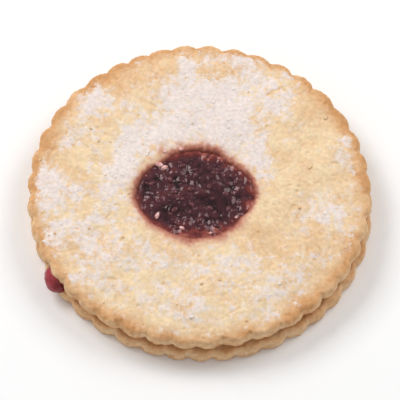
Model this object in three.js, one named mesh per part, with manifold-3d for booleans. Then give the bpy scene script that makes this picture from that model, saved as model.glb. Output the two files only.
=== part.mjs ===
// A linzer cookie: two fluted shortbread biscuits held together by a layer of red jam.
// The upper biscuit has an oval window, which the jam fills almost to the face.
// Units are millimetres. +Z is up, and the cookie lies on the plane z = 0.

import * as THREE from 'three';
import { mergeVertices } from 'three/addons/utils/BufferGeometryUtils.js';
import { ImprovedNoise } from 'three/addons/math/ImprovedNoise.js';
import Module from 'manifold-3d';

const wasm = await Module();
wasm.setup();

const { smoothstep, degToRad } = THREE.MathUtils;

// Driving dimensions
const COOKIE_DIAMETER = 76;
const BOTTOM_THICKNESS = 3.9;
const JAM_THICKNESS = 1.0;
const TOP_THICKNESS = 3.8;
const WINDOW_WIDTH = 25;
const WINDOW_DEPTH = 21;
const WINDOW_POINTEDNESS = 0.03; // share by which the oval bulges at both ends of its axes
const WINDOW_CENTRE = new THREE.Vector2(-1.0, -0.7);

// The flutes that the cutter leaves along a biscuit's edge
const FLUTE_COUNT = 40;
const FLUTE_DEPTH = 0.95;
const FLUTE_REACH = 3.2; // how far in from the edge they fade out
const FLUTE_FULLNESS = 0.8; // under 1 gives broad lobes and narrow notches
const FLUTE_UNEVENNESS = 0.22; // share by which the depth varies
const FLUTE_WANDER = 0.022; // radians by which a lobe strays along the edge
const OUT_OF_ROUND = 0.28;
const POINTS_PER_FLUTE = 5;

// The section of a biscuit
const BASE_ROUNDING = 0.7;
const SHOULDER_DROP = 0.9; // the side wall ends this far below the face
const SHOULDER_INSET = 1.25; // and the face begins this far in from the edge
const RIM_FALL = 0.5; // the face sinks by this much towards the rim
const RIM_FALL_WIDTH = 9;
const LIP_FALL = 0.3; // and by this much towards the window
const LIP_FALL_WIDTH = 3.5;
const LIP_DROP = 1.0; // depth of the window's rounded lip
const LIP_INSET = 0.9;
const FACE_RINGS = 11;
const WINDOW_REACH = 9; // how far out the face follows the window's oval

// Slow undulations of the baked face: height, and radians of phase per millimetre along X and Y
const UNDULATIONS = [
  { height: 0.17, x: 0.19, y: 0.13 },
  { height: 0.13, x: -0.16, y: 0.31 },
  { height: 0.1, x: 0.47, y: -0.38 },
  { height: 0.08, x: 0.71, y: 0.66 },
];
const CRAG_HEIGHT = 0.34;
const CRAG_SPACING = 4.6;

// The two biscuits don't lie quite true on each other
const BOTTOM = { x: 0.35, y: -0.55, turn: 0.07, seed: 1.3 };
const TOP = { x: 0, y: 0, turn: 0, seed: 4.1 };

// The jam
const JAM_RADIUS = 34.4;
const JAM_EDGE_ROUNDING = 0.3;
const JAM_SEGMENTS = 96;
const JAM_GAP = 0.3; // clearance between the jam and a biscuit's walls
const JAM_EDGE_DEPTH = 1.35; // the jam meets the window this far under the face
const JAM_CROWN = 0.5; // its middle is this much higher than its edge
const DOME_RINGS = 8;
const LUMP_COUNT = 15;
const LUMP_HEIGHT = 0.42;
const LUMP_RADIUS = 2.3;
const SEED_COUNT = 18;
const SEED_HALF_SIZE = new THREE.Vector3(0.95, 0.62, 0.5);

// A bead of jam that has been squeezed out of the seam
const BEAD_ANGLE = degToRad(212);
const BEAD_DISTANCE = 37.3;
const BEAD_HALF_SIZE = new THREE.Vector3(2.5, 3.3, 2.8); // outwards, along the rim, up
const BEAD_SAG = 0.14; // share by which it is wider low down
const BEAD_LUMPINESS = 0.09; // share by which its girth varies
const BEAD_SPREAD = 0.1; // radians of the jam's edge that swell towards the bead

const GOLDEN_ANGLE = Math.PI * (3 - Math.sqrt(5));
const MERGE_DISTANCE = 1e-3;

const RIM_RADIUS = COOKIE_DIAMETER / 2;
const WINDOW_RADIUS = (WINDOW_WIDTH + WINDOW_DEPTH) / 4;
const SEAM_TOP = BOTTOM_THICKNESS + JAM_THICKNESS;
const FACE_HEIGHT = SEAM_TOP + TOP_THICKNESS;

// ---- Turning and joining ----

/** Drops all but the positions, merges equal points and leaves out triangles without area. */
function closedSkin(geometry) {
  geometry.deleteAttribute('normal');
  geometry.deleteAttribute('uv');
  const merged = mergeVertices(geometry, MERGE_DISTANCE);
  const corners = merged.index.array;
  const kept = [];
  for (let i = 0; i < corners.length; i += 3) {
    const [a, b, c] = corners.subarray(i, i + 3);
    if (a !== b && b !== c && c !== a) kept.push(a, b, c);
  }
  merged.setIndex(kept);
  return merged;
}

/** Turns a profile of (radius, height) points about Z and puts each point where place() says. */
function turnedSolid(profile, segments, place) {
  const geometry = new THREE.LatheGeometry(profile, segments);
  geometry.rotateX(Math.PI / 2);
  const position = geometry.getAttribute('position');
  for (let i = 0; i < position.count; i += 1) {
    const x = position.getX(i);
    const y = position.getY(i);
    const placed = place(Math.hypot(x, y), Math.atan2(y, x), position.getZ(i));
    position.setXYZ(i, placed.x, placed.y, placed.z);
  }
  return closedSkin(geometry);
}

/** A manifold-3d solid of a closed geometry, for joining and cutting. */
function toManifold(geometry) {
  const vertProperties = new Float32Array(geometry.getAttribute('position').array);
  const triVerts = new Uint32Array(geometry.index.array);
  return new wasm.Manifold(new wasm.Mesh({ numProp: 3, vertProperties, triVerts }));
}

/** The geometry of a manifold-3d solid. */
function toGeometry(manifold) {
  const mesh = manifold.getMesh();
  const geometry = new THREE.BufferGeometry();
  geometry.setAttribute('position', new THREE.BufferAttribute(mesh.vertProperties, 3));
  geometry.setIndex(new THREE.BufferAttribute(mesh.triVerts, 1));
  return geometry;
}

// ---- Outlines and relief ----

/** How far a point of a fluted edge strays along that edge, in radians. */
function fluteWander(angle, biscuit) {
  const slow = Math.sin(3 * angle + biscuit.seed);
  const quick = Math.sin(7 * angle + 2 * biscuit.seed);
  return FLUTE_WANDER * (slow + quick / 2);
}

/** How far a fluted edge lies outside the true circle: about 0 at a lobe, below 0 at a notch. */
function fluteOffset(angle, biscuit) {
  const lobe = Math.abs(Math.sin((FLUTE_COUNT / 2) * angle)) ** FLUTE_FULLNESS;
  const unevenness = 1 + FLUTE_UNEVENNESS * Math.sin(11 * angle + biscuit.seed);
  const roundness = OUT_OF_ROUND * Math.sin(2 * angle + 2 * biscuit.seed);
  return roundness - FLUTE_DEPTH * unevenness * (1 - lobe);
}

/** The plan of the window: share 0 is its centre, and share 1 is its slightly ragged edge. */
function windowPoint(angle, share) {
  const ragged = 0.014 * Math.sin(5 * angle + 1) + 0.01 * Math.sin(9 * angle + 4)
    + 0.007 * Math.sin(16 * angle + 2);
  const reach = share * (1 + share * (ragged + WINDOW_POINTEDNESS * Math.cos(4 * angle)));
  return new THREE.Vector2(
    WINDOW_CENTRE.x + (reach * WINDOW_WIDTH / 2) * Math.cos(angle),
    WINDOW_CENTRE.y + (reach * WINDOW_DEPTH / 2) * Math.sin(angle),
  );
}

const noise = new ImprovedNoise();

/** The uneven height of the upper biscuit's baked face. */
function faceRelief(x, y) {
  let relief = CRAG_HEIGHT * noise.noise(x / CRAG_SPACING, y / CRAG_SPACING, TOP.seed);
  for (const wave of UNDULATIONS) {
    relief += wave.height * Math.sin(wave.x * x + wave.y * y + TOP.seed);
  }
  return relief;
}

// ---- Biscuits ----

/** The outer part of a biscuit's profile, from its underside up and over its shoulder. */
function rimProfile(base, shoulder, grow) {
  const edge = RIM_RADIUS + grow;
  return [
    new THREE.Vector2(edge - BASE_ROUNDING, base),
    new THREE.Vector2(edge - BASE_ROUNDING / 4, base + BASE_ROUNDING / 3),
    new THREE.Vector2(edge, base + BASE_ROUNDING),
    new THREE.Vector2(edge, shoulder - SHOULDER_DROP),
    new THREE.Vector2(edge - SHOULDER_INSET / 3, shoulder - SHOULDER_DROP / 3),
    new THREE.Vector2(edge - SHOULDER_INSET, shoulder),
  ];
}

/** Puts a point of a turned biscuit in its place, with flutes along the rim. */
function placeFluted(biscuit, radius, angle, height) {
  const pull = smoothstep(radius, RIM_RADIUS - FLUTE_REACH, RIM_RADIUS);
  const around = angle + biscuit.turn + pull * fluteWander(angle, biscuit);
  const out = radius + pull * fluteOffset(angle, biscuit);
  return new THREE.Vector3(
    biscuit.x + out * Math.cos(around),
    biscuit.y + out * Math.sin(around),
    height,
  );
}

/** The lower biscuit, a whole disc. Its upper side is the flat bed of the jam. */
function bottomBiscuit(grow = 0) {
  const base = -grow;
  const bed = BOTTOM_THICKNESS + grow;
  const profile = [
    new THREE.Vector2(0, base),
    ...rimProfile(base, bed, grow),
    new THREE.Vector2(0, bed),
  ];
  const place = (...turned) => placeFluted(BOTTOM, ...turned);
  return turnedSolid(profile, FLUTE_COUNT * POINTS_PER_FLUTE, place);
}

/** Height of the upper biscuit's smooth face: it falls away to the rim and to the window. */
function faceHeight(radius) {
  const rim = smoothstep(radius, RIM_RADIUS - RIM_FALL_WIDTH, RIM_RADIUS);
  const lip = 1 - smoothstep(radius, WINDOW_RADIUS, WINDOW_RADIUS + LIP_FALL_WIDTH);
  return FACE_HEIGHT - RIM_FALL * rim - LIP_FALL * lip;
}

/** Puts a point of the turned upper biscuit in its place: fluted, round its window, uneven. */
function placeTop(radius, angle, height) {
  const point = placeFluted(TOP, radius, angle, height);
  const pull = 1 - smoothstep(radius, WINDOW_RADIUS, WINDOW_RADIUS + WINDOW_REACH);
  const edge = windowPoint(angle, 1);
  point.x += pull * (edge.x - WINDOW_RADIUS * Math.cos(angle));
  point.y += pull * (edge.y - WINDOW_RADIUS * Math.sin(angle));
  const rise = smoothstep(height, SEAM_TOP + BASE_ROUNDING, FACE_HEIGHT - LIP_DROP);
  point.z += rise * faceRelief(point.x, point.y);
  return point;
}

/** The upper biscuit, a ring round the window. */
function topBiscuit(grow = 0) {
  const base = SEAM_TOP - grow;
  const inner = WINDOW_RADIUS - grow;
  const faceStart = RIM_RADIUS - SHOULDER_INSET;
  const faceWidth = faceStart - inner - LIP_INSET;
  const profile = [
    new THREE.Vector2(inner, base),
    ...rimProfile(base, faceHeight(faceStart) + grow, grow),
  ];
  for (let ring = 1; ring <= FACE_RINGS; ring += 1) {
    const radius = faceStart - (faceWidth * ring) / FACE_RINGS;
    profile.push(new THREE.Vector2(radius, faceHeight(radius) + grow));
  }
  profile.push(new THREE.Vector2(inner, FACE_HEIGHT - LIP_DROP + grow));
  profile.push(new THREE.Vector2(inner, base));
  return turnedSolid(profile, FLUTE_COUNT * POINTS_PER_FLUTE, placeTop);
}

// ---- Jam ----

/** The share of the way from the window's centre to its edge at a point of the plan. */
function windowShare(x, y) {
  const across = (x - WINDOW_CENTRE.x) / (WINDOW_WIDTH / 2);
  const along = (y - WINDOW_CENTRE.y) / (WINDOW_DEPTH / 2);
  return Math.hypot(across, along);
}

/** Evenly scattered places in the window, by the sunflower rule. */
function scatterInWindow(count, reach, turn) {
  const places = [];
  for (let i = 0; i < count; i += 1) {
    places.push(windowPoint(i * GOLDEN_ANGLE + turn, reach * Math.sqrt((i + 0.5) / count)));
  }
  return places;
}

const LUMPS = scatterInWindow(LUMP_COUNT, 0.9, 0.4);

/** Height of the jam's surface in the window: a low dome with soft lumps of fruit. */
function jamSurface(x, y) {
  const share = windowShare(x, y);
  let height = FACE_HEIGHT - JAM_EDGE_DEPTH + JAM_CROWN * (1 - share * share);
  LUMPS.forEach((lump, i) => {
    const size = 0.75 + 0.25 * Math.sin(5 * i);
    const distance = Math.hypot(x - lump.x, y - lump.y) / (LUMP_RADIUS * size);
    height += (LUMP_HEIGHT * size - LUMP_HEIGHT / 3) * Math.exp(-distance * distance);
  });
  return height;
}

/** The jam's edge between the biscuits wanders in and out and swells towards the bead. */
function jamEdge(angle) {
  const toBead = Math.atan2(Math.sin(angle - BEAD_ANGLE), Math.cos(angle - BEAD_ANGLE));
  const swell = Math.exp(-((toBead / BEAD_SPREAD) ** 2));
  const wander = 0.9 * Math.sin(2 * angle + 0.5) + 0.6 * Math.sin(5 * angle + 2)
    + 0.35 * Math.sin(9 * angle + 1);
  return THREE.MathUtils.lerp(wander, BEAD_DISTANCE - JAM_RADIUS, swell);
}

/** Puts a point of the turned jam in its place: in the window, or in the layer under it. */
function placeJam(radius, angle, height) {
  if (radius < WINDOW_RADIUS) {
    const plan = windowPoint(angle, radius / WINDOW_RADIUS);
    const isSurface = height > (SEAM_TOP + FACE_HEIGHT) / 2;
    return new THREE.Vector3(plan.x, plan.y, isSurface ? jamSurface(plan.x, plan.y) : height);
  }
  const out = radius + jamEdge(angle);
  return new THREE.Vector3(out * Math.cos(angle), out * Math.sin(angle), height);
}

/** The layer of jam between the biscuits with the mound that fills the window. */
function jamBody() {
  const edge = WINDOW_RADIUS - JAM_GAP;
  const layerMiddle = (BOTTOM_THICKNESS + SEAM_TOP) / 2;
  const profile = [
    new THREE.Vector2(0, BOTTOM_THICKNESS),
    new THREE.Vector2(JAM_RADIUS - JAM_EDGE_ROUNDING, BOTTOM_THICKNESS),
    new THREE.Vector2(JAM_RADIUS, layerMiddle),
    new THREE.Vector2(JAM_RADIUS - JAM_EDGE_ROUNDING, SEAM_TOP),
    new THREE.Vector2(edge, SEAM_TOP),
  ];
  for (let ring = 0; ring <= DOME_RINGS; ring += 1) {
    profile.push(new THREE.Vector2(edge * (1 - ring / DOME_RINGS), FACE_HEIGHT));
  }
  return toManifold(turnedSolid(profile, JAM_SEGMENTS, placeJam));
}

/** One seed, half sunk in the jam's surface. */
function seed(place, i) {
  const geometry = new THREE.IcosahedronGeometry(1, 0);
  geometry.scale(SEED_HALF_SIZE.x, SEED_HALF_SIZE.y, SEED_HALF_SIZE.z);
  geometry.rotateZ(i * 2.2);
  geometry.translate(place.x, place.y, jamSurface(place.x, place.y));
  return toManifold(closedSkin(geometry));
}

/** The bead of jam at the rim: a lumpy drop that sags a little, cut clear of both biscuits. */
function bead() {
  const geometry = new THREE.SphereGeometry(1, 16, 10);
  const position = geometry.getAttribute('position');
  for (let i = 0; i < position.count; i += 1) {
    const up = position.getZ(i);
    const girth = 1 - BEAD_SAG * up + BEAD_LUMPINESS * Math.sin(3 * position.getY(i) + 2 * up + 1);
    position.setXYZ(i, position.getX(i) * girth, position.getY(i) * girth, up);
  }
  geometry.scale(BEAD_HALF_SIZE.x, BEAD_HALF_SIZE.y, BEAD_HALF_SIZE.z);
  geometry.translate(BEAD_DISTANCE, 0, (BOTTOM_THICKNESS + SEAM_TOP) / 2);
  geometry.rotateZ(BEAD_ANGLE);
  return toManifold(closedSkin(geometry))
    .subtract(toManifold(bottomBiscuit(JAM_GAP)))
    .subtract(toManifold(topBiscuit(JAM_GAP)));
}

/** All the jam: the filling, its bead and its seeds are one solid. */
function jam() {
  let joined = jamBody().add(bead());
  scatterInWindow(SEED_COUNT, 0.84, 2.1).forEach((place, i) => {
    joined = joined.add(seed(place, i));
  });
  return toGeometry(joined);
}

// ---- The cookie ----

const shortbread = new THREE.MeshStandardMaterial({ color: 0xe6c79b, roughness: 0.85, metalness: 0 });
const sugaredShortbread = new THREE.MeshStandardMaterial({
  color: 0xeed9bd,
  roughness: 0.9,
  metalness: 0,
});
const redJam = new THREE.MeshStandardMaterial({ color: 0x4f1a22, roughness: 0.25, metalness: 0 });

/** A named mesh, which is one separate piece of the cookie. */
function piece(name, geometry, material) {
  const mesh = new THREE.Mesh(geometry, material);
  mesh.name = name;
  return mesh;
}

const cookie = new THREE.Group();
cookie.add(
  piece('bottom_biscuit', bottomBiscuit(), shortbread),
  piece('jam', jam(), redJam),
  piece('top_biscuit', topBiscuit(), sugaredShortbread),
);

// The origin is the middle of the cookie's own box, at the height of its underside.
const middle = new THREE.Box3().setFromObject(cookie).getCenter(new THREE.Vector3());
cookie.position.set(-middle.x, -middle.y, 0);

export default cookie;
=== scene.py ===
"""A linzer cookie: two fluted shortbread biscuits, red jam between them and in the upper one's
window, and a patchy dusting of icing sugar. It is made in the order in which it is put together.

Shapes are worked out in millimetres, in the frame of the CAD model, and turned to metres when a
mesh is made."""

import math

import bmesh
import bpy
import numpy as np
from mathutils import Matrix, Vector, noise
from mathutils.bvhtree import BVHTree


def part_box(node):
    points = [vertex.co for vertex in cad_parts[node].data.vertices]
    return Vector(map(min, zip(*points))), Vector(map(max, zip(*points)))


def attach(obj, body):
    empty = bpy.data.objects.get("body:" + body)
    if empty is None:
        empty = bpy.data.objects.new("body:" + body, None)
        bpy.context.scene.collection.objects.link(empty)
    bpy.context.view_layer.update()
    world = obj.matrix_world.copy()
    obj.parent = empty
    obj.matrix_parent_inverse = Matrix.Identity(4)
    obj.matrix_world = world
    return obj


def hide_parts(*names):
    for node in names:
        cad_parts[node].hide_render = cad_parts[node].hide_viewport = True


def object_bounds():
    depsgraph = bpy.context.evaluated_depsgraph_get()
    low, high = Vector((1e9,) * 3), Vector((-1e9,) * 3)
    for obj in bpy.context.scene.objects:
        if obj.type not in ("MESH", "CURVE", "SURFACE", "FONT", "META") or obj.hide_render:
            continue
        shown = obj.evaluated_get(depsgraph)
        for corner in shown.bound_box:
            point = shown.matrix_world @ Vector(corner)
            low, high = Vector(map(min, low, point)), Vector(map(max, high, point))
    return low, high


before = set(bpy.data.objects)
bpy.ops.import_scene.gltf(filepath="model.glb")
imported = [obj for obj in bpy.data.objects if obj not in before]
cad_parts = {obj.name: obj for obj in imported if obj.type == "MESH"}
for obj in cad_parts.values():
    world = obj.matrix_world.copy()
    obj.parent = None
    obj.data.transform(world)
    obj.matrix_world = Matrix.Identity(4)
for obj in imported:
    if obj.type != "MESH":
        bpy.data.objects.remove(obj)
cad_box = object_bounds()

# ---- Lower biscuit ----
# A disc of shortbread, rolled out, stamped with a fluted cutter and baked flat on a tray. It is
# sandy and matt, golden on top and browner along its flutes and underneath. It carries the jam.

MM = 0.001  # in metres
RIM_RADIUS = 38.0
FLUTE_COUNT = 40
FLUTE_DEPTH = 0.95
FLUTE_REACH = 3.2  # how far in from the edge the flutes fade out
FLUTE_FULLNESS = 0.8  # below 1 the lobes are fuller and the notches narrower
FLUTE_UNEVENNESS = 0.22  # share by which the notches' depth varies round the rim
FLUTE_WANDER = 0.022  # how far the flutes stray from even spacing, in radians
NOTCH_SOFTNESS = 0.008  # rounds the bottom of a notch
OUT_OF_ROUND = 0.28
CAD_SEGMENTS = 200  # steps round the rim that the CAD model takes
BASE_ROUNDING = 0.7
SHOULDER_DROP = 0.9
SHOULDER_INSET = 1.25
LOWER = {"x": 0.35, "y": -0.55, "turn": 0.07, "seed": 1.3}
LOWER_SEGMENTS = 800
BED_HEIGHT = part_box("bottom_biscuit")[1].z / MM


def smoothstep(value, start, end):
    """0 up to start, 1 from end on, and a smooth rise between them."""
    share = np.clip((value - start) / (end - start), 0, 1)
    return share * share * (3 - 2 * share)


def fluted(biscuit, radius, angle, softness=0.0):
    """Plan of a biscuit's points: true circles near the middle, flutes along the rim."""
    seed = biscuit["seed"]
    pull = smoothstep(radius, RIM_RADIUS - FLUTE_REACH, RIM_RADIUS)
    wander = np.sin(3 * angle + seed) + np.sin(7 * angle + 2 * seed) / 2
    lobe = (np.sin(FLUTE_COUNT / 2 * angle) ** 2 + softness) ** (FLUTE_FULLNESS / 2)
    unevenness = 1 + FLUTE_UNEVENNESS * np.sin(11 * angle + seed)
    roundness = OUT_OF_ROUND * np.sin(2 * angle + 2 * seed)
    out = radius + pull * (roundness - FLUTE_DEPTH * unevenness * (1 - lobe))
    around = angle + biscuit["turn"] + pull * FLUTE_WANDER * wander
    return biscuit["x"] + out * np.cos(around), biscuit["y"] + out * np.sin(around)


# The frame's origin is the middle of the whole cookie, and the plans are drawn round the upper
# biscuit's centre, so this is the step from one to the other.
cad_angles = np.arange(CAD_SEGMENTS) / CAD_SEGMENTS * math.tau
rim_x, rim_y = fluted(LOWER, RIM_RADIUS, cad_angles)
low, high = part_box("bottom_biscuit")
SHIFT_X = (low.x + high.x) / 2 / MM - (rim_x.min() + rim_x.max()) / 2
SHIFT_Y = (low.y + high.y) / 2 / MM - (rim_y.min() + rim_y.max()) / 2

CORNER_CUTS = 3  # the more, the rounder


def soft_profile(corners, closed, step):
    """A section's corners, rounded by cutting each edge's ends off again and again, as a line of
    points. step gives the distance between neighbouring points at a radius and height."""
    line = np.array(corners, float)
    for _ in range(CORNER_CUTS):
        after = np.roll(line, -1, axis=0) if closed else line[1:]
        before = line if closed else line[:-1]
        cut = np.stack([before * 0.75 + after * 0.25, before * 0.25 + after * 0.75], axis=1)
        cut = cut.reshape(-1, 2)
        line = cut if closed else np.vstack([line[:1], cut, line[-1:]])
    if closed:
        line = np.vstack([line, line[:1]])
    middle = (line[1:] + line[:-1]) / 2
    steps = np.hypot(*np.diff(line, axis=0).T) / step(middle[:, 0], middle[:, 1])
    run = np.concatenate([[0], np.cumsum(steps)])
    at = np.linspace(0, run[-1], int(run[-1]) + 1)
    if closed:
        at = at[:-1]
    return np.stack([np.interp(at, run, line[:, 0]), np.interp(at, run, line[:, 1])], axis=1)


# How far a seed of 1 moves each pattern along x, y and z, in its own spacings
SPECKLE_STRIDE = (17.3, 5.1, 9.7)
GRAIN_STRIDE = (7.7, 12.9, 3.1)
MEAN_GRAIN = 0.6  # the height about which grains vary


def speckle(points, spacing, seed):
    """Smooth noise from -1 to 1 at points in mm, with a grain of that spacing."""
    offset = Vector([seed * stride for stride in SPECKLE_STRIDE])
    return np.array([noise.noise(Vector(p) / spacing + offset) for p in points.tolist()])


def grains(points, spacing, seed):
    """Heights from 0 to 1 of round grains that lie side by side, about that far apart."""
    offset = Vector([seed * stride for stride in GRAIN_STRIDE])
    nearest = [noise.voronoi(Vector(p) / spacing + offset)[0][0] for p in points.tolist()]
    return 1 - np.clip(nearest, 0, 1) ** 2


def outward(grid, closed):
    """Unit normals of a turned grid of points (along the profile, around, xyz)."""
    around = np.roll(grid, -1, axis=1) - np.roll(grid, 1, axis=1)
    if closed:
        along = np.roll(grid, -1, axis=0) - np.roll(grid, 1, axis=0)
    else:
        along = np.gradient(grid, axis=0)
    normal = np.cross(around, along)
    length = np.linalg.norm(normal, axis=2, keepdims=True)
    return normal / np.maximum(length, 1e-9)


# The relief of baked dough, in mm
SWELL_HEIGHT = 0.12
SWELL_SPACING = 2.2
GRIT_HEIGHT = 0.06
GRIT_SPACING = 0.5
CRUMB_HEIGHT = 0.17
CRUMB_SPACING = 1.0
PIT_DEPTH = 0.24
PIT_SPACING = 0.95
PIT_SLOPE = (0.46, 0.7)  # the speckle's value at a pit's rim and at its bottom
CRACK_DEPTH = 0.2
CRACK_SPACING = 7.0
CRACK_SLOPE = (0.01, 0.05)  # the same at a crack's bottom and at its edge
CRACKED_PATCH_SPACING = 5.0
CRACKED_PATCH_FADE = (0.1, 0.4)
TORN_CRUMB = 0.1  # how much higher the crumb stands on a wall that the cutter tore
TORN_PITS = 0.16  # and how far the speckle is raised there, for more pits
TORN_BAND = (RIM_RADIUS - 0.8, RIM_RADIUS - 0.2)
# Depth of a pit at which its painted shade is full, and height of a grain at which its painted
# light is
PIT_SHADE_DEPTH = 0.2


def crumb_relief(points, torn, seed):
    """Height of baked dough's surface in mm: soft swells, sandy crumb, open pits, hair cracks. The
    crumb is coarser and has more pits where torn is 1, on the walls that the cutter left."""
    relief = SWELL_HEIGHT * speckle(points, SWELL_SPACING, seed)
    relief += GRIT_HEIGHT * speckle(points, GRIT_SPACING, seed + 2)
    crumbs = grains(points, CRUMB_SPACING, seed) - MEAN_GRAIN
    relief += (CRUMB_HEIGHT + TORN_CRUMB * torn) * crumbs
    pits = smoothstep(speckle(points, PIT_SPACING, seed + 3) + TORN_PITS * torn, *PIT_SLOPE)
    # A crack follows the line on which a wide speckle is 0, and breaks off where another is low.
    cracks = 1 - smoothstep(np.abs(speckle(points, CRACK_SPACING, seed + 4)), *CRACK_SLOPE)
    cracks *= smoothstep(speckle(points, CRACKED_PATCH_SPACING, seed + 5), *CRACKED_PATCH_FADE)
    return relief - PIT_DEPTH * pits - CRACK_DEPTH * cracks


def torn_wall(radius):
    """1 on the wall that the cutter tore, and 0 on the rolled and baked faces."""
    return smoothstep(radius, *TORN_BAND)


def painted_pit_shade(relief):
    """1 in a pit, and -1 on top of a grain of crumb: painted shade in pits, painted light on
    grains.
    """
    return np.clip(-relief / PIT_SHADE_DEPTH, -1, 1)


def skin(name, grid, closed, fields):
    """A mesh from a turned grid in mm, with a float attribute on its points for each field.
    A profile that isn't closed gets a point on the axis at each end, and a fan to it."""
    rings, around = grid.shape[:2]
    points = grid.reshape(-1, 3)
    start = np.arange(rings if closed else rings - 1)[:, None] * around
    after = (start + around) % (rings * around)
    here = np.arange(around)[None, :]
    there = (here + 1) % around
    quads = np.stack([start + here, start + there, after + there, after + here], axis=2)
    faces = quads.reshape(-1, 4).tolist()
    fields = {field: values.ravel() for field, values in fields.items()}
    if not closed:
        first, last = len(points), len(points) + 1
        points = np.vstack([points, grid[0].mean(axis=0), grid[-1].mean(axis=0)])
        end = (rings - 1) * around
        faces += [(first, (i + 1) % around, i) for i in range(around)]
        faces += [(last, end + i, end + (i + 1) % around) for i in range(around)]
        for field, values in fields.items():
            fields[field] = np.concatenate([values, values[:1], values[-1:]])
    mesh = bpy.data.meshes.new(name)
    mesh.from_pydata((points * MM).tolist(), [], faces)
    for field, values in fields.items():
        attribute = mesh.attributes.new(field, "FLOAT", "POINT")
        attribute.data.foreach_set("value", values.astype(np.float32))
    mesh.shade_smooth()
    piece = bpy.data.objects.new(name, mesh)
    bpy.context.scene.collection.objects.link(piece)
    return piece


def linear(hex_colour):
    """An sRGB hex colour as the linear RGBA that a shader takes."""
    parts = [int(hex_colour[i : i + 2], 16) / 255 for i in (1, 3, 5)]
    return [*(c / 12.92 if c <= 0.04045 else ((c + 0.055) / 1.055) ** 2.4 for c in parts), 1.0]


def add(tree, kind, inputs, stops=(), **settings):
    """Adds a shader node with its settings and, on a colour ramp, its stops. An input is a value,
    an output socket, or a node that feeds it with its first output."""
    node = tree.nodes.new("ShaderNode" + kind)
    for name, value in settings.items():
        setattr(node, name, value)
    for key, value in inputs.items():
        if isinstance(value, bpy.types.Node):
            value = value.outputs[0]
        if isinstance(value, bpy.types.NodeSocket):
            tree.links.new(value, node.inputs[key])
        else:
            node.inputs[key].default_value = value
    if stops:
        ends = [node.color_ramp.elements[i] for i in (0, 1)]
        for end, (place, shade) in zip(ends, (stops[0], stops[-1])):
            end.position, end.color = place, linear(shade)
        for place, shade in stops[1:-1]:
            node.color_ramp.elements.new(place).color = linear(shade)
    return node


def empty_material(name):
    """A new material with no nodes yet, and its node tree."""
    material = bpy.data.materials.new(name)
    material.use_nodes = True
    material.node_tree.nodes.clear()
    return material, material.node_tree


# The shortbread's patterns, in mm
BLOTCH_WIDTH = 3.4
CRUMB_WIDTH = 0.9
FLOUR_WIDTH = 0.3  # coarser than the flour's grain is, so that it shows
FLOUR_DEPTH = 0.14
BLOTCH_STRENGTH = 1.1  # how much the blotches change the browning
# Painted shade: how much browner the pits are painted, and how much paler the grains' tops
PIT_SHADE_BROWNING = 0.16  # and how much the pits add to it


def browned_dough(tree, place):
    """The dough's colour. It is pale where it is thick and browns where the oven reaches it from
    two sides and in blotches. Its pits are painted browner as painted shade, and the tops of its
    grains paler as painted light."""
    bake = add(tree, "Attribute", {}, attribute_name="bake").outputs["Fac"]
    pit_shade = add(tree, "Attribute", {}, attribute_name="pit_shade").outputs["Fac"]
    blotch = add(
        tree, "TexNoise", {"Vector": place, "Scale": 1 / (BLOTCH_WIDTH * MM), "Detail": 3.0}
    )
    uneven = add(tree, "Math", {0: blotch, 1: 0.5}, operation="SUBTRACT")
    heat = add(tree, "Math", {0: uneven, 1: BLOTCH_STRENGTH, 2: bake}, operation="MULTIPLY_ADD")
    # Pits are painted browner as painted shade, and the grains' tops paler as painted light
    browning = add(tree, "Math", {0: pit_shade, 1: PIT_SHADE_BROWNING, 2: heat}, operation="MULTIPLY_ADD")
    golden = add(
        tree, "Mix", {0: browning, 6: linear("#f4dab3"), 7: linear("#e0ab78")}, data_type="RGBA"
    )
    scorch = add(
        tree, "MapRange", {"Value": browning, "From Min": 0.85, "From Max": 1.6, "To Max": 0.75}
    )
    brown = add(
        tree, "Mix", {0: scorch, 6: golden.outputs[2], 7: linear("#ba7e45")}, data_type="RGBA"
    )
    return brown.outputs[2]


def baked_shortbread(name, topping=None):
    """Baked shortbread: butter, flour and sugar, with a matt, sandy crumb that shades itself. A
    topping is a function that changes the dough's colour, and gives that and the roughness."""
    material, tree = empty_material(name)
    place = add(tree, "TexCoord", {}).outputs["Object"]
    colour = browned_dough(tree, place)
    roughness = 0.75
    if topping:
        colour, roughness = topping(tree, place, colour)
    crumb = add(tree, "TexNoise", {"Vector": place, "Scale": 1 / (CRUMB_WIDTH * MM), "Detail": 3.0})
    shade = add(
        tree,
        "MapRange",
        {"Value": crumb, "From Min": 0.3, "From Max": 0.7, "To Min": 0.86, "To Max": 1.06},
    )
    shaded = add(tree, "VectorMath", {0: colour, 1: shade}, operation="MULTIPLY")
    flour = add(
        tree,
        "TexNoise",
        {"Vector": place, "Scale": 1 / (FLOUR_WIDTH * MM), "Detail": 4.0, "Roughness": 0.6},
    )
    bump = add(tree, "Bump", {"Height": flour, "Strength": 0.6, "Distance": FLOUR_DEPTH * MM})
    shader = add(
        tree,
        "BsdfPrincipled",
        {
            "Base Color": shaded,
            "Roughness": roughness,
            "IOR": 1.45,
            "Specular IOR Level": 0.25,
            "Subsurface Weight": 0.1,
            "Subsurface Radius": (1.0, 0.55, 0.3),
            "Subsurface Scale": 0.9 * MM,
            "Normal": bump,
        },
    )
    add(tree, "OutputMaterial", {"Surface": shader})
    return material


AXIS_GAP = 0.3  # a disc's rings stop this short of its axis
# Distance between a biscuit's rings where it shows, underneath, and where it doesn't show
SIDE_STEP = 0.3
BASE_STEP = 0.8
HIDDEN_STEP = 1.6
LOWER_SHOWS_FROM = 34.0  # further in, the jam covers the lower biscuit's top
SIDE_BAND = (RIM_RADIUS - 4.0, RIM_RADIUS - 1.0)  # over which its top turns into its side
UNDERSIDE_BAND = (0.0, 0.3)
TRAY_CLEARANCE = 0.08  # dips shallower than this were pressed out by the tray
TRAY_DIP_SCALE = 1.2
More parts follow.
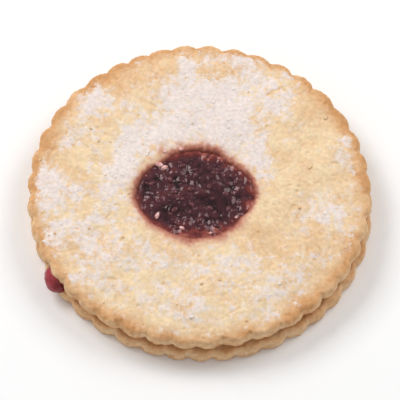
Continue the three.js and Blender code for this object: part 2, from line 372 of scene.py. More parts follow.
# How far it is baked: everywhere, and that much more on its side, along the side's edges and below
LOWER_BAKE = 0.35
SIDE_BAKE = 0.2
EDGE_BAKE = 0.4
TRAY_BAKE = 0.25


def turned(profile, segments):
    """Radius, angle and height of every point of a profile turned about Z, as grids."""
    around = np.arange(segments) / segments * math.tau
    radius = np.repeat(profile[:, :1], segments, axis=1)
    height = np.repeat(profile[:, 1:], segments, axis=1)
    return radius, np.tile(around, (len(profile), 1)), height


def lower_step(radius, height):
    """Fine up the side, coarser underneath, and coarsest under the jam."""
    inner = np.where(height > BED_HEIGHT / 2, HIDDEN_STEP, BASE_STEP)
    return np.where(radius > LOWER_SHOWS_FROM, SIDE_STEP, inner)


lower_corners = [
    (AXIS_GAP, 0.0),
    (RIM_RADIUS - BASE_ROUNDING, 0.0),
    (RIM_RADIUS - BASE_ROUNDING / 4, BASE_ROUNDING / 3),
    (RIM_RADIUS, BASE_ROUNDING),
    (RIM_RADIUS, BED_HEIGHT - SHOULDER_DROP),
    (RIM_RADIUS - SHOULDER_INSET / 3, BED_HEIGHT - SHOULDER_DROP / 3),
    (RIM_RADIUS - SHOULDER_INSET, BED_HEIGHT),
    (AXIS_GAP, BED_HEIGHT),
]
lower_profile = soft_profile(lower_corners, False, lower_step)
radius, angle, height = turned(lower_profile, LOWER_SEGMENTS)
x, y = fluted(LOWER, radius, angle, NOTCH_SOFTNESS)
lower_grid = np.stack([x + SHIFT_X, y + SHIFT_Y, height], axis=2)
on_side = smoothstep(radius, *SIDE_BAND)
underneath = 1 - smoothstep(height, *UNDERSIDE_BAND)
relief = crumb_relief(lower_grid.reshape(-1, 3), torn_wall(radius).ravel(), LOWER["seed"])
relief = relief.reshape(radius.shape)
# It was pressed flat by the tray, so underneath only its pits and cracks leave the plane.
dips = np.minimum(relief + TRAY_CLEARANCE, 0) * TRAY_DIP_SCALE
relief = np.where(underneath > 0, dips, relief * on_side)
lower_grid += outward(lower_grid, closed=False) * relief[:, :, None]
lower_grid[:, :, 2] = np.maximum(lower_grid[:, :, 2], 0)
# The side is brownest along its lower and its upper edge.
edges = np.abs(2 * height / BED_HEIGHT - 1)
lower_fields = {
    "bake": LOWER_BAKE + on_side * (SIDE_BAKE + EDGE_BAKE * edges) + TRAY_BAKE * underneath,
    "pit_shade": painted_pit_shade(relief),
}
lower_biscuit = skin("lower_biscuit_baked", lower_grid, False, lower_fields)
lower_biscuit.data.materials.append(baked_shortbread("shortbread_plain"))
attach(lower_biscuit, "root")
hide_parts("bottom_biscuit")

# ---- Jam ----
# Cooked red fruit jam with its pulp and small seeds, spooned on the lower biscuit and spread by the
# weight of the upper one, so that it wells up in the window and at one place out of the seam.

SEAM_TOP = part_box("top_biscuit")[0].z / MM
FACE_HEIGHT = SEAM_TOP + 3.8
WINDOW_WIDTH = 25.0
WINDOW_DEPTH = 21.0
WINDOW_POINTEDNESS = 0.03  # share by which the oval bulges at both ends of its axes
WINDOW_CENTRE = (-1.0, -0.7)
WINDOW_RADIUS = (WINDOW_WIDTH + WINDOW_DEPTH) / 4
GOLDEN_ANGLE = math.pi * (3 - math.sqrt(5))
JAM_RADIUS = 34.4
JAM_ROUNDING = 0.3
JAM_SEGMENTS = 480
JAM_EDGE_RINGS = 14
JAM_SURFACE_RINGS = 78
JAM_EDGE_DEPTH = 1.35
JAM_CROWN = 0.5
JAM_OVERLAP = 0.9  # the jam runs this far under the window's ragged lip
MENISCUS = 0.35  # and clings this much higher there
MENISCUS_WIDTH = 0.6
LUMP_COUNT = 15
LUMP_HEIGHT = 0.42
LUMP_RADIUS = 2.3
DRUPELET_HEIGHT = 0.7
DRUPELET_SPACING = 1.8
SUNKEN_SHARE = 0.12  # of a drupelet's height shows where the syrup stands over the fruit
FINE_PULP_HEIGHT = 0.1
CROWD_SPACING = 7.0
CROWD_FADE = (-0.35, 0.25)  # the speckle's value between bare syrup and crowded fruit
DEEP_CENTRE = (-1.1, -0.2)  # of the oval in which the jam is deep
DEEP_HALF_WIDTH = 12.5
DEEP_HALF_DEPTH = 8.7
DEEP_FADE = (0.86, 1.2)  # shares of that oval between which it thins out
DEEP_RAGGEDNESS = 0.12
DEEP_RAGGED_SPACING = 2.6
# How deep the jam looks, from a clear film at 0 to black at 1: at its thinnest, that much more
# where it is deep or has no pulp, and in the seam
FILM_DEPTH = 0.1
POOL_DEPTH = 0.6
SYRUP_DEPTH = 0.2
SEAM_DEPTH = 0.3
WALL_SHARE = 0.65  # of that depth is left where it climbs the wall
# Painted shade in the skin's dips and painted light on its bumps, for each mm
DIP_PAINTED_SHADE = 1.1  # for each mm by which its skin dips
BUMP_PAINTED_LIGHT = 0.5  # and by which it stands up
BEAD_ANGLE = math.radians(212)
BEAD_DISTANCE = 37.3
BEAD_SPREAD = 0.1


def window_point(angle, share):
    """Plan of the window: share 0 is its centre, and share 1 is its slightly ragged edge, with
    waves of 5, 9 and 16 to the turn."""
    ragged = 0.014 * np.sin(5 * angle + 1) + 0.01 * np.sin(9 * angle + 4)
    ragged += 0.007 * np.sin(16 * angle + 2) + WINDOW_POINTEDNESS * np.cos(4 * angle)
    reach = share * (1 + share * ragged)
    x = WINDOW_CENTRE[0] + reach * WINDOW_WIDTH / 2 * np.cos(angle)
    return x, WINDOW_CENTRE[1] + reach * WINDOW_DEPTH / 2 * np.sin(angle)


def window_share(x, y):
    """The share of the way from the window's centre to its edge at a point of the plan."""
    return np.hypot(
        (x - WINDOW_CENTRE[0]) / (WINDOW_WIDTH / 2), (y - WINDOW_CENTRE[1]) / (WINDOW_DEPTH / 2)
    )


def strewn_in_window(count, reach, turn):
    """Evenly strewn places in the window, by the sunflower rule."""
    i = np.arange(count)
    return window_point(i * GOLDEN_ANGLE + turn, reach * np.sqrt((i + 0.5) / count))


def jam_surface(x, y):
    """Height of the jam in the window: a low dome with soft lumps of fruit."""
    height = FACE_HEIGHT - JAM_EDGE_DEPTH + JAM_CROWN * (1 - window_share(x, y) ** 2)
    lumps = zip(*strewn_in_window(LUMP_COUNT, reach=0.9, turn=0.4))
    for i, (lump_x, lump_y) in enumerate(lumps):
        size = 0.75 + 0.25 * math.sin(5 * i)  # from half to full size
        distance = np.hypot(x - lump_x, y - lump_y) / (LUMP_RADIUS * size)
        height = height + (LUMP_HEIGHT * size - LUMP_HEIGHT / 3) * np.exp(-distance * distance)
    return height


def jam_pulp(points, crowded):
    """Bumps of the jam's skin: drupelets of fruit under syrup, crowded here and sunken there."""
    drupelets = grains(points, DRUPELET_SPACING, 31) - MEAN_GRAIN
    relief = DRUPELET_HEIGHT * drupelets * (SUNKEN_SHARE + (1 - SUNKEN_SHARE) * crowded)
    relief += FINE_PULP_HEIGHT * (grains(points, DRUPELET_SPACING / 2, 35) - MEAN_GRAIN)
    return relief + 0.06 * speckle(points, 1.3, 32) + 0.2 * speckle(points, 3.2, 34)


def jam_edge(angle):
    """The jam's edge between the biscuits wanders in and out and swells towards the bead."""
    to_bead = np.arctan2(np.sin(angle - BEAD_ANGLE), np.cos(angle - BEAD_ANGLE))
    swell = np.exp(-((to_bead / BEAD_SPREAD) ** 2))
    wander = 0.9 * np.sin(2 * angle + 0.5) + 0.6 * np.sin(5 * angle + 2)
    wander += 0.35 * np.sin(9 * angle + 1)
    return wander + (BEAD_DISTANCE - JAM_RADIUS - wander) * swell


PULP_WIDTH = 1.6  # of the clouds of fine pulp in the syrup, in mm


def cooked_jam(name, shades):
    """Cooked jam: sugar syrup and fruit, wet and glossy, and clouded a little by its pulp. Its
    shades run from where it is thin and lets light through to where it is deep and almost black.
    Its depth also carries painted shade in dips and on flanks, and painted light on bumps."""
    material, tree = empty_material(name)
    place = add(tree, "TexCoord", {}).outputs["Object"]
    depth_and_shade = add(tree, "Attribute", {}, attribute_name="depth_and_shade").outputs["Fac"]
    pulp = add(tree, "TexNoise", {"Vector": place, "Scale": 1 / (PULP_WIDTH * MM), "Detail": 3.0})
    cloud = add(tree, "Math", {0: pulp, 1: 0.5}, operation="SUBTRACT")
    deep = add(tree, "Math", {0: cloud, 1: 0.9, 2: depth_and_shade}, operation="MULTIPLY_ADD")
    stops = [(i / (len(shades) - 1), shade) for i, shade in enumerate(shades)]
    colour = add(tree, "ValToRGB", {"Fac": deep}, stops)
    shader = add(
        tree,
        "BsdfPrincipled",
        {
            "Base Color": colour,
            "Roughness": 0.16,
            "IOR": 1.49,
            "Specular Tint": linear("#f6d6d6"),
            "Subsurface Weight": 0.08,
            "Subsurface Radius": (1.0, 0.12, 0.1),
            "Subsurface Scale": 1.2 * MM,
        },
    )
    add(tree, "OutputMaterial", {"Surface": shader})
    return material


def straight(start, end, count):
    """That many points of a profile, evenly spaced from one radius and height to another."""
    return np.stack([np.linspace(start[i], end[i], count) for i in range(2)], axis=1)


middle_height = (BED_HEIGHT + SEAM_TOP) / 2
half_seam = (SEAM_TOP - BED_HEIGHT) / 2
turn_over_edge = np.linspace(-math.pi / 2, math.pi / 2, JAM_EDGE_RINGS)
round_edge = np.stack(
    [
        JAM_RADIUS - JAM_ROUNDING + JAM_ROUNDING * np.cos(turn_over_edge),
        middle_height + half_seam * np.sin(turn_over_edge),
    ],
    axis=1,
)
jam_reach = WINDOW_RADIUS + JAM_OVERLAP
jam_profile = np.vstack(
    [
        straight((AXIS_GAP, BED_HEIGHT), (JAM_RADIUS - 1, BED_HEIGHT), 6),
        round_edge,
        straight((JAM_RADIUS - 1, SEAM_TOP), (WINDOW_RADIUS + 1, SEAM_TOP), 5),
        straight((WINDOW_RADIUS, SEAM_TOP), (WINDOW_RADIUS, FACE_HEIGHT - 2), 3),
        straight((jam_reach, FACE_HEIGHT), (AXIS_GAP, FACE_HEIGHT), JAM_SURFACE_RINGS),
    ]
)
radius, angle, height = turned(jam_profile, JAM_SEGMENTS)
on_surface = height == FACE_HEIGHT
in_window = on_surface | (radius <= WINDOW_RADIUS)
layer_x = (radius + jam_edge(angle)) * np.cos(angle)
layer_y = (radius + jam_edge(angle)) * np.sin(angle)
window_x, window_y = window_point(angle, radius / WINDOW_RADIUS)
x = np.where(in_window, window_x, layer_x)
y = np.where(in_window, window_y, layer_y)
plan = np.stack([x.ravel(), y.ravel(), np.zeros(x.size)], axis=1)
to_wall = (1 - window_share(x, y)) * WINDOW_RADIUS
cling = MENISCUS * np.exp(-np.maximum(to_wall, 0) / MENISCUS_WIDTH)
crowded = smoothstep(speckle(plan, CROWD_SPACING, 33), *CROWD_FADE)
pulp = jam_pulp(plan, crowded).reshape(x.shape)
surface = jam_surface(x, y) + pulp + cling
z = np.where(on_surface, surface, height)
jam_grid = np.stack([x + SHIFT_X, y + SHIFT_Y, z], axis=2)
# The window's front and back edges slumped and slope in under the jam, so it thins out there.
slope = np.hypot((x - DEEP_CENTRE[0]) / DEEP_HALF_WIDTH, (y - DEEP_CENTRE[1]) / DEEP_HALF_DEPTH)
slope += DEEP_RAGGEDNESS * speckle(plan, DEEP_RAGGED_SPACING, 36).reshape(x.shape)
thickness_and_shade = FILM_DEPTH + POOL_DEPTH * (1 - smoothstep(slope, *DEEP_FADE))
# Pulp that stands up is painted paler, as painted light, and dips are painted darker, as painted
# shade.
thickness_and_shade -= DIP_PAINTED_SHADE * np.minimum(pulp, 0) + BUMP_PAINTED_LIGHT * np.maximum(pulp, 0)
thickness_and_shade += SYRUP_DEPTH * (1 - crowded.reshape(x.shape))
thickness_and_shade *= WALL_SHARE + (1 - WALL_SHARE) * smoothstep(to_wall, 0.0, 1.0)
thickness_and_shade = np.where(on_surface, thickness_and_shade, SEAM_DEPTH)
jam_filling = skin("jam_filling", jam_grid, False, {"depth_and_shade": thickness_and_shade})
jam_shades = ["#a05c4e", "#7c3833", "#5a2626", "#502a2f", "#3d1e25", "#200e12"]
jam_filling.data.materials.append(cooked_jam("red_jam", jam_shades))
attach(jam_filling, "root")
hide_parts("jam")

# ---- Bead of jam ----
# A drop that the weight of the upper biscuit pressed out of the seam. It hangs on the jam between
# the biscuits and on both their rims, and it sagged a little before its skin set.

BEAD_HALF_SIZE = (2.5, 3.3, 2.8)
BEAD_SAG = 0.14
BEAD_LUMPINESS = 0.09
# Its dents: depth and spacing as shares of its half-size, and seed
BEAD_DENTS = [(0.06, 0.55, 41), (0.05, 0.25, 42)]
BEAD_RINGS = 44
BEAD_SEGMENTS = 72
BEAD_TILT = 1.5  # its last rings stop short of its poles, which lie at a quarter turn
FLANK_SHADE_FADE = (0.25, 0.95)  # shares of its half-width from its middle, painted clear as light, to its flank, painted dark as shade
# Painted light in the drop's middle and painted shade on its flanks
LIT_MIDDLE_DEPTH = 0.05
FLANK_SHADE_DEPTH = 0.5

tilt = np.linspace(-BEAD_TILT, BEAD_TILT, BEAD_RINGS)
around = np.arange(BEAD_SEGMENTS) / BEAD_SEGMENTS * math.tau
up, angle = np.meshgrid(np.sin(tilt), around, indexing="ij")
radius = np.repeat(np.cos(tilt)[:, None], BEAD_SEGMENTS, axis=1)
out, along = radius * np.cos(angle), radius * np.sin(angle)
ball = np.stack([out, along, up], axis=2).reshape(-1, 3)
dents = sum(size * speckle(ball, spacing, seed) for size, spacing, seed in BEAD_DENTS)
dents = dents.reshape(radius.shape)
# The drop's middle is painted clearer as painted light, and its flanks darker as painted shade.
# Its bulges are painted paler as light, and its dents darker as shade.
flank_shade = smoothstep(np.abs(along), *FLANK_SHADE_FADE)
depth_and_shade = LIT_MIDDLE_DEPTH + FLANK_SHADE_DEPTH * flank_shade - 2 * dents
girth = 1 - BEAD_SAG * up + BEAD_LUMPINESS * np.sin(3 * along + 2 * up + 1) + dents
out = out * girth * BEAD_HALF_SIZE[0] + BEAD_DISTANCE
along = along * girth * BEAD_HALF_SIZE[1]
up = up * (1 + dents) * BEAD_HALF_SIZE[2]
bead_grid = np.stack(
    [
        out * math.cos(BEAD_ANGLE) - along * math.sin(BEAD_ANGLE) + SHIFT_X,
        out * math.sin(BEAD_ANGLE) + along * math.cos(BEAD_ANGLE) + SHIFT_Y,
        up + middle_height,
    ],
    axis=2,
)
jam_bead = skin("jam_bead", bead_grid, False, {"depth_and_shade": depth_and_shade})
jam_bead.data.materials.append(cooked_jam("clear_red_jam", ["#a63e46", "#802a31", "#541f26"]))
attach(jam_bead, "root")
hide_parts("jam")

# ---- Seeds in the jam ----
# The fruit's own seeds, hard and pitted. With the coat of syrup that holds them in the jam's skin
# the large ones are almost two millimetres long, and smaller ones lie among them.

SEED_COUNT = 18
SEED_HALF_SIZE = (0.95, 0.62, 0.5)
SMALL_SEED_COUNT = 22
SMALL_SEED_HALF_SIZE = (0.6, 0.4, 0.36)
SEED_SINK = 0.16  # how far a seed's middle lies under the jam's skin
SEED_TURN = 2.2  # from each seed to the next, so that they point all ways
PITTING_WIDTH = 0.5  # in mm, of the pits in a seed's coat


def strewn(name, places, half_sizes, turns, uneven, seed, subdivisions=2):
    """One mesh of many small lumps, each a ball at its place, stretched by its half-sizes, turned
    about Z by its turn and made uneven by that share. Places and sizes are in mm."""
    ball = bmesh.new()
    bmesh.ops.create_icosphere(ball, subdivisions=subdivisions, radius=1)
    corners = np.array([vertex.co[:] for vertex in ball.verts])
    triangles = np.array([[vertex.index for vertex in face.verts] for face in ball.faces])
    ball.free()
    count = len(places)
    random = np.random.default_rng(seed)
    swell = 1 + uneven * random.uniform(-1, 1, (count, len(corners), 1))
    lumps = corners[None] * swell * np.asarray(half_sizes)[:, None]
    cos, sin = np.cos(turns)[:, None], np.sin(turns)[:, None]
    x = lumps[:, :, 0] * cos - lumps[:, :, 1] * sin
    y = lumps[:, :, 0] * sin + lumps[:, :, 1] * cos
    points = np.stack([x, y, lumps[:, :, 2]], axis=2) + np.asarray(places)[:, None]
    faces = triangles[None] + np.arange(count)[:, None, None] * len(corners)
    mesh = bpy.data.meshes.new(name)
    mesh.from_pydata((points.reshape(-1, 3) * MM).tolist(), [], faces.reshape(-1, 3).tolist())
    mesh.shade_smooth()
    piece = bpy.data.objects.new(name, mesh)
    bpy.context.scene.collection.objects.link(piece)
    return piece


def surface_below(*pieces):
    """A function that gives the height in mm of the highest of these pieces at each place."""
    graph = bpy.context.evaluated_depsgraph_get()
    trees = [BVHTree.FromObject(piece, graph) for piece in pieces]

    def height(x, y):
        start = Vector((x * MM, y * MM, cad_box[1].z * 2))
        hits = [tree.ray_cast(start, Vector((0, 0, -1)))[0] for tree in trees]
        return max(hit.z for hit in hits if hit) / MM

    return np.vectorize(height)


def syrupy_seed(name):
    """Seed coat: hard, tan and pitted, seen through dark red syrup that wets it."""
    material, tree = empty_material(name)
    place = add(tree, "TexCoord", {}).outputs["Object"]
    pitting = add(
        tree, "TexNoise", {"Vector": place, "Scale": 1 / (PITTING_WIDTH * MM), "Detail": 2.0}
    )
    colour = add(tree, "ValToRGB", {"Fac": pitting}, [(0.35, "#4a2429"), (0.7, "#6f4246")])
    shader = add(
        tree,
        "BsdfPrincipled",
        {"Base Color": colour, "Roughness": 0.22, "IOR": 1.46, "Specular Tint": linear("#f6d6d6")},
    )
    add(tree, "OutputMaterial", {"Surface": shader})
    return material


seed_x, seed_y = strewn_in_window(SEED_COUNT, reach=0.84, turn=2.1)
small_x, small_y = strewn_in_window(SMALL_SEED_COUNT, reach=0.95, turn=1.2)
x, y = np.append(seed_x, small_x) + SHIFT_X, np.append(seed_y, small_y) + SHIFT_Y
jam_height = surface_below(jam_filling)
places = np.stack([x, y, jam_height(x, y) - SEED_SINK], axis=1)
half_sizes = [SEED_HALF_SIZE] * SEED_COUNT + [SMALL_SEED_HALF_SIZE] * SMALL_SEED_COUNT
turns = np.arange(len(places)) * SEED_TURN
jam_seeds = strewn("jam_seeds", places, half_sizes, turns, uneven=0.08, seed=71)
jam_seeds.data.materials.append(syrupy_seed("seed_under_syrup"))
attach(jam_seeds, "root")
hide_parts("jam")

# ---- Upper biscuit ----
# The same shortbread with the window stamped out of it. Its face is uneven from the oven, its
# window's edge is soaked with jam, and icing sugar was sieved over it, which lies in soft drifts.

UPPER = {"x": 0.0, "y": 0.0, "turn": 0.0, "seed": 4.1}
UPPER_SEGMENTS = 800
UPPER_SHOWS_FROM = 35.0  # further in, its underside lies on the jam
HIDDEN_WALL = 1.5  # and the foot of the window's wall, up to this far, stands in the jam
FACE_STEP = 0.31
WINDOW_REACH = 9.0  # how far out from the window's edge its rings are oval
RIM_FALL = 0.5
RIM_FALL_WIDTH = 9.0
LIP_FALL = 0.3
LIP_FALL_WIDTH = 3.5
LIP_DROP = 1.0
LIP_INSET = 0.9
FACE_STEPS = 9
CRAG_HEIGHT = 0.2
CRAG_SPACING = 4.6
# Slow waves of the face, from the oven: height, and turn for each mm of x and of y, in radians
UNDULATIONS = [(0.17, 0.19, 0.13), (0.13, -0.16, 0.31), (0.1, 0.47, -0.38), (0.08, 0.71, 0.66)]
BROWNING_DRIFT = 0.45
BROWNING_SPACING = 9.0
# Where the oven was hotter or cooler: x, y, half-length, half-width in mm, tilt in degrees, amount
BROWNED_PATCHES = [
    (-17.0, 28.0, 8.0, 3.6, 0, 0.7),
    (-26.0, 22.0, 4.5, 4.5, 0, 0.4),
    (1.0, 33.0, 7.2, 2.7, 0, 0.5),
    (22.0, 2.0, 5.4, 5.4, 0, -0.35),
    (32.0, 2.0, 2.7, 6.3, 0, 0.4),
    (-32.0, 12.0, 3.6, 6.3, 0, 0.45),
    (29.0, 18.0, 3.6, 4.5, 0, 0.2),
]
RIM_BAND = (RIM_RADIUS - 5.0, RIM_RADIUS - 1.0)  # over which the rim browns
RIM_EDGE_BAND = (RIM_RADIUS - 2.2, RIM_RADIUS - 0.6)  # and browns more
RIM_EDGE_BROWNING = 0.25
UPPER_BAKE = 0.22  # how far it is baked everywhere
BROWNED_BAKE = 0.7  # and that much more where it browned
SOAK_AT_EDGE = 0.75
SOAK_REACH = 1.5  # where the juice that crept into the biscuit has faded to a third
SOAK_STEEPNESS = 1.3
# How ragged the stain's edge is: height and spacing in mm, and seed
SOAK_RAGGEDNESS = [(0.8, 3.1, 62), (0.4, 0.9, 64), (0.3, 0.45, 66)]
# Each drop of juice that ran out over the face: x, y, half-length, half-width in mm, tilt in
# degrees, and how red it left the biscuit
JUICE_SMEARS = [
    (-8.4, 9.9, 2.2, 1.1, 75, 0.32),
    (-4.4, 11.8, 1.5, 0.9, 10, 0.3),
    (-10.8, 7.8, 1.0, 0.8, 0, 0.25),
    (-5.6, -11.2, 1.2, 0.6, -30, 0.25),
]
# Where the window's lip stayed almost dry: the same, and the share of the juice that is missing
DRY_LIP = (-9.8, 8.0, 2.0, 1.2, 30, 0.8)
SUGAR_BASE = 0.06  # the even dusting between the drifts
SUGARLESS = 0.35  # so far below none that no stray grain shows
# How patchy the dusting is: amount, spacing in mm, and seed
SUGAR_MOTTLE = [(0.26, 4.2, 51), (0.34, 1.8, 52), (0.2, 0.9, 53)]
# Each drift of sugar: x and y of its middle, half-length, half-width in mm, tilt in degrees, and
# its amount, which is below 0 where the sugar was brushed off
SUGAR_DRIFTS = [
    (-17.0, 6.0, 4.6, 3.0, 60, 0.66),
    (-12.5, 14.0, 6.5, 4.2, 15, 0.72),
    (-4.5, 15.5, 4.0, 3.6, 0, 0.5),
    (-4.5, 24.5, 6.0, 4.6, 15, 0.64),
    (5.5, 15.8, 5.2, 6.4, 10, 0.84),
    (6.0, 25.0, 6.0, 4.4, 0, 0.58),
    (17.0, 23.0, 5.0, 4.4, 30, 0.52),
    (13.0, 8.0, 4.4, 3.0, -52, 0.64),
    (13.5, 29.0, 4.5, 2.4, -22, 0.42),
    (-22.0, 22.5, 4.4, 3.4, 10, 0.64),
    (-28.5, 15.0, 4.2, 2.8, 45, 0.46),
    (-33.5, 1.0, 3.6, 4.6, 0, 0.85),
    (-24.0, -1.0, 6.0, 9.0, 0, 0.26),
    (-20.5, -7.0, 4.0, 5.0, 0, 0.3),
    (-29.5, -10.0, 4.8, 4.0, 20, 0.42),
    (27.5, -5.5, 6.0, 3.2, 5, 0.52),
    (33.0, 11.0, 2.4, 5.0, -10, 0.34),
    (7.0, 34.0, 5.0, 1.6, -10, 0.36),
    (-2.5, 31.5, 2.6, 3.0, 0, 0.4),
    (-12.0, -16.5, 7.5, 3.8, -8, 0.42),
    (6.0, -18.0, 6.5, 3.2, 8, 0.36),
    (17.0, -24.0, 7.0, 4.0, 25, 0.4),
    (-4.0, -28.5, 8.0, 3.6, -5, 0.42),
    (-23.0, -21.0, 4.8, 3.6, -38, 0.4),
    (-16.5, 27.5, 3.6, 2.6, 25, -0.35),
    (-27.5, 7.0, 3.4, 2.6, 0, -0.35),
    (-25.0, -4.5, 2.2, 1.8, 0, -0.4),
    (28.5, 20.0, 4.5, 4.0, 0, -0.3),
    (24.0, 6.0, 5.0, 6.0, 0, -0.2),
    (16.5, -8.5, 5.0, 4.0, 20, -0.3),
    (-31.5, 15.5, 4.0, 1.8, 62, -0.3),
]
FACE_BAND = (SEAM_TOP + 2.0, SEAM_TOP + 2.9)  # heights from the wall to the face
BARE_LIP = (0.2, 1.3)  # distances from the window over which the dusting begins
BARE_RIM = (35.9, 37.4)  # and radii over which it ends
THICK_SUGAR = (0.3, 0.9)  # amounts between which it turns from a film to a cover
SUGAR_FILL = 0.55  # share of the crumb's relief that thick sugar hides
POWDER_DEPTH = 0.06  # of sugar where it lies thick, and the height and spacing of its clots
CLOT_HEIGHT = 0.08
CLOT_SPACING = 0.7
FILLED_LIP = 1.4  # juice filled the crumb this far from the window
LIP_FILL = 0.55  # and this share of its relief at the window's edge
SUGAR_SWALLOWED = 0.6
SWALLOWING_DEPTHS = (0.05, 0.22)


def face_height(radius):
    """Height of the smooth face: it falls away to the rim and to the window."""
    rim = smoothstep(radius, RIM_RADIUS - RIM_FALL_WIDTH, RIM_RADIUS)
    lip = 1 - smoothstep(radius, WINDOW_RADIUS, WINDOW_RADIUS + LIP_FALL_WIDTH)
    return FACE_HEIGHT - RIM_FALL * rim - LIP_FALL * lip


def soft_patch(x, y, middle_x, middle_y, length, width, tilt):
    """1 in the middle of an oval patch of the plan, fading away past its half-length and width."""
    cos, sin = math.cos(math.radians(tilt)), math.sin(math.radians(tilt))
    along = ((x - middle_x) * cos + (y - middle_y) * sin) / length
    across = ((y - middle_y) * cos - (x - middle_x) * sin) / width
    return np.exp(-(along * along + across * across) * 0.8)


def sugar_cover(x, y, points):
    """How much sugar lies at points of the plan: about 0 is bare, and 1 hides the biscuit."""
    cover = np.full(x.shape, SUGAR_BASE)
    for *patch, amount in SUGAR_DRIFTS:
        cover += amount * soft_patch(x, y, *patch)
    for amount, spacing, seed in SUGAR_MOTTLE:
        cover += amount * speckle(points, spacing, seed).reshape(x.shape)
    return cover


# The film of sugar's patterns, in mm
SUGAR_GRAIN_WIDTH = 0.4  # coarser than the sugar's grain is, so that it shows
SUGAR_CLOT_WIDTH = 1.5
GRAIN_STRENGTH = 1.3
CLOT_STRENGTH = 1.2


def sugar_and_juice(tree, place, dough):
    """What lies on the dough and in it. Icing sugar is a dry, matt, almost white powder that lets
    the dough show between its grains. Juice is a glossy brown-red stain that wets it away."""
    sugar = add(tree, "Attribute", {}, attribute_name="sugar").outputs["Fac"]
    soak = add(tree, "Attribute", {}, attribute_name="soak").outputs["Fac"]
    grain = add(
        tree, "TexNoise", {"Vector": place, "Scale": 1 / (SUGAR_GRAIN_WIDTH * MM), "Detail": 3.0}
    )
    clot = add(
        tree, "TexNoise", {"Vector": place, "Scale": 1 / (SUGAR_CLOT_WIDTH * MM), "Detail": 3.0}
    )
    grainy = add(tree, "Math", {0: grain, 1: GRAIN_STRENGTH, 2: sugar}, operation="MULTIPLY_ADD")
    amount = add(tree, "Math", {0: clot, 1: CLOT_STRENGTH, 2: grainy}, operation="MULTIPLY_ADD")
    powder = add(
        tree,
        "MapRange",
        {"Value": amount, "From Min": 1.32, "From Max": 1.95, "To Max": 0.95},
        interpolation_type="SMOOTHSTEP",
    )
    dusted = add(tree, "Mix", {0: powder, 6: dough, 7: linear("#efe2dd")}, data_type="RGBA")
    seeped = add(
        tree,
        "MapRange",
        {"Value": soak, "From Min": 0.0, "From Max": 0.45, "To Max": 0.98},
        interpolation_type="SMOOTHSTEP",
    )
    reds = [(0.1, "#e5b7a0"), (0.35, "#cb8b75"), (0.65, "#9a5446"), (0.95, "#561f1f")]
    stain = add(tree, "ValToRGB", {"Fac": soak}, reds)
    stained = add(tree, "Mix", {0: seeped, 6: dusted.outputs[2], 7: stain}, data_type="RGBA")
    roughness = add(
        tree,
        "MapRange",
        {"Value": soak, "From Min": 0.3, "From Max": 0.9, "To Min": 0.78, "To Max": 0.3},
    )
    return stained.outputs[2], roughness


def upper_step(radius, height):
    """Coarse underneath and at the foot of the window's wall, where jam lies against it."""
    hidden = (height < SEAM_TOP + HIDDEN_WALL) & (radius < UPPER_SHOWS_FROM)
    return np.where(hidden, HIDDEN_STEP, FACE_STEP)


shoulder = RIM_RADIUS - SHOULDER_INSET
upper_corners = [
    (WINDOW_RADIUS, SEAM_TOP),
    (RIM_RADIUS - BASE_ROUNDING, SEAM_TOP),
    (RIM_RADIUS - BASE_ROUNDING / 4, SEAM_TOP + BASE_ROUNDING / 3),
    (RIM_RADIUS, SEAM_TOP + BASE_ROUNDING),
    (RIM_RADIUS, face_height(shoulder) - SHOULDER_DROP),
    (RIM_RADIUS - SHOULDER_INSET / 3, face_height(shoulder) - SHOULDER_DROP / 3),
]
for along in np.linspace(shoulder, WINDOW_RADIUS + LIP_INSET, FACE_STEPS):
    upper_corners.append((along, face_height(along)))
upper_corners.append((WINDOW_RADIUS, FACE_HEIGHT - LIP_DROP))
upper_profile = soft_profile(upper_corners, True, upper_step)
radius, angle, height = turned(upper_profile, UPPER_SEGMENTS)
x, y = fluted(UPPER, radius, angle, NOTCH_SOFTNESS)
pull = 1 - smoothstep(radius, WINDOW_RADIUS, WINDOW_RADIUS + WINDOW_REACH)
edge_x, edge_y = window_point(angle, 1.0)
x += pull * (edge_x - WINDOW_RADIUS * np.cos(angle))
y += pull * (edge_y - WINDOW_RADIUS * np.sin(angle))
plan = np.stack([x.ravel(), y.ravel(), np.zeros(x.size)], axis=1)
waves = CRAG_HEIGHT * speckle(plan, CRAG_SPACING, 61).reshape(x.shape)
for wave, across, along in UNDULATIONS:
    waves += wave * np.sin(across * x + along * y + UPPER["seed"])
rise = smoothstep(height, SEAM_TOP + BASE_ROUNDING, FACE_HEIGHT - LIP_DROP)
upper_grid = np.stack([x + SHIFT_X, y + SHIFT_Y, height + rise * waves], axis=2)

on_face = smoothstep(height, *FACE_BAND)
from_window = radius - WINDOW_RADIUS
dusted = on_face * smoothstep(from_window, *BARE_LIP) * (1 - smoothstep(radius, *BARE_RIM))
sugar = sugar_cover(x, y, plan) * dusted - SUGARLESS * (1 - dusted)
thick = smoothstep(sugar, *THICK_SUGAR)
relief = crumb_relief(upper_grid.reshape(-1, 3), torn_wall(radius).ravel(), UPPER["seed"])
relief = relief.reshape(radius.shape)
powder_relief = CLOT_HEIGHT * grains(plan, CLOT_SPACING, 63).reshape(x.shape) + POWDER_DEPTH
relief = relief * (1 - SUGAR_FILL * thick) + powder_relief * thick
relief *= 1 - LIP_FILL + LIP_FILL * smoothstep(from_window, 0.0, FILLED_LIP)
relief[height < SEAM_TOP + 0.05] = 0  # the underside lies on the jam
# Pits and cracks swallow the powder.
sugar -= SUGAR_SWALLOWED * on_face * smoothstep(-relief, *SWALLOWING_DEPTHS)
upper_grid += outward(upper_grid, closed=True) * relief[:, :, None]

ragged = sum(size * speckle(plan, spacing, seed) for size, spacing, seed in SOAK_RAGGEDNESS)
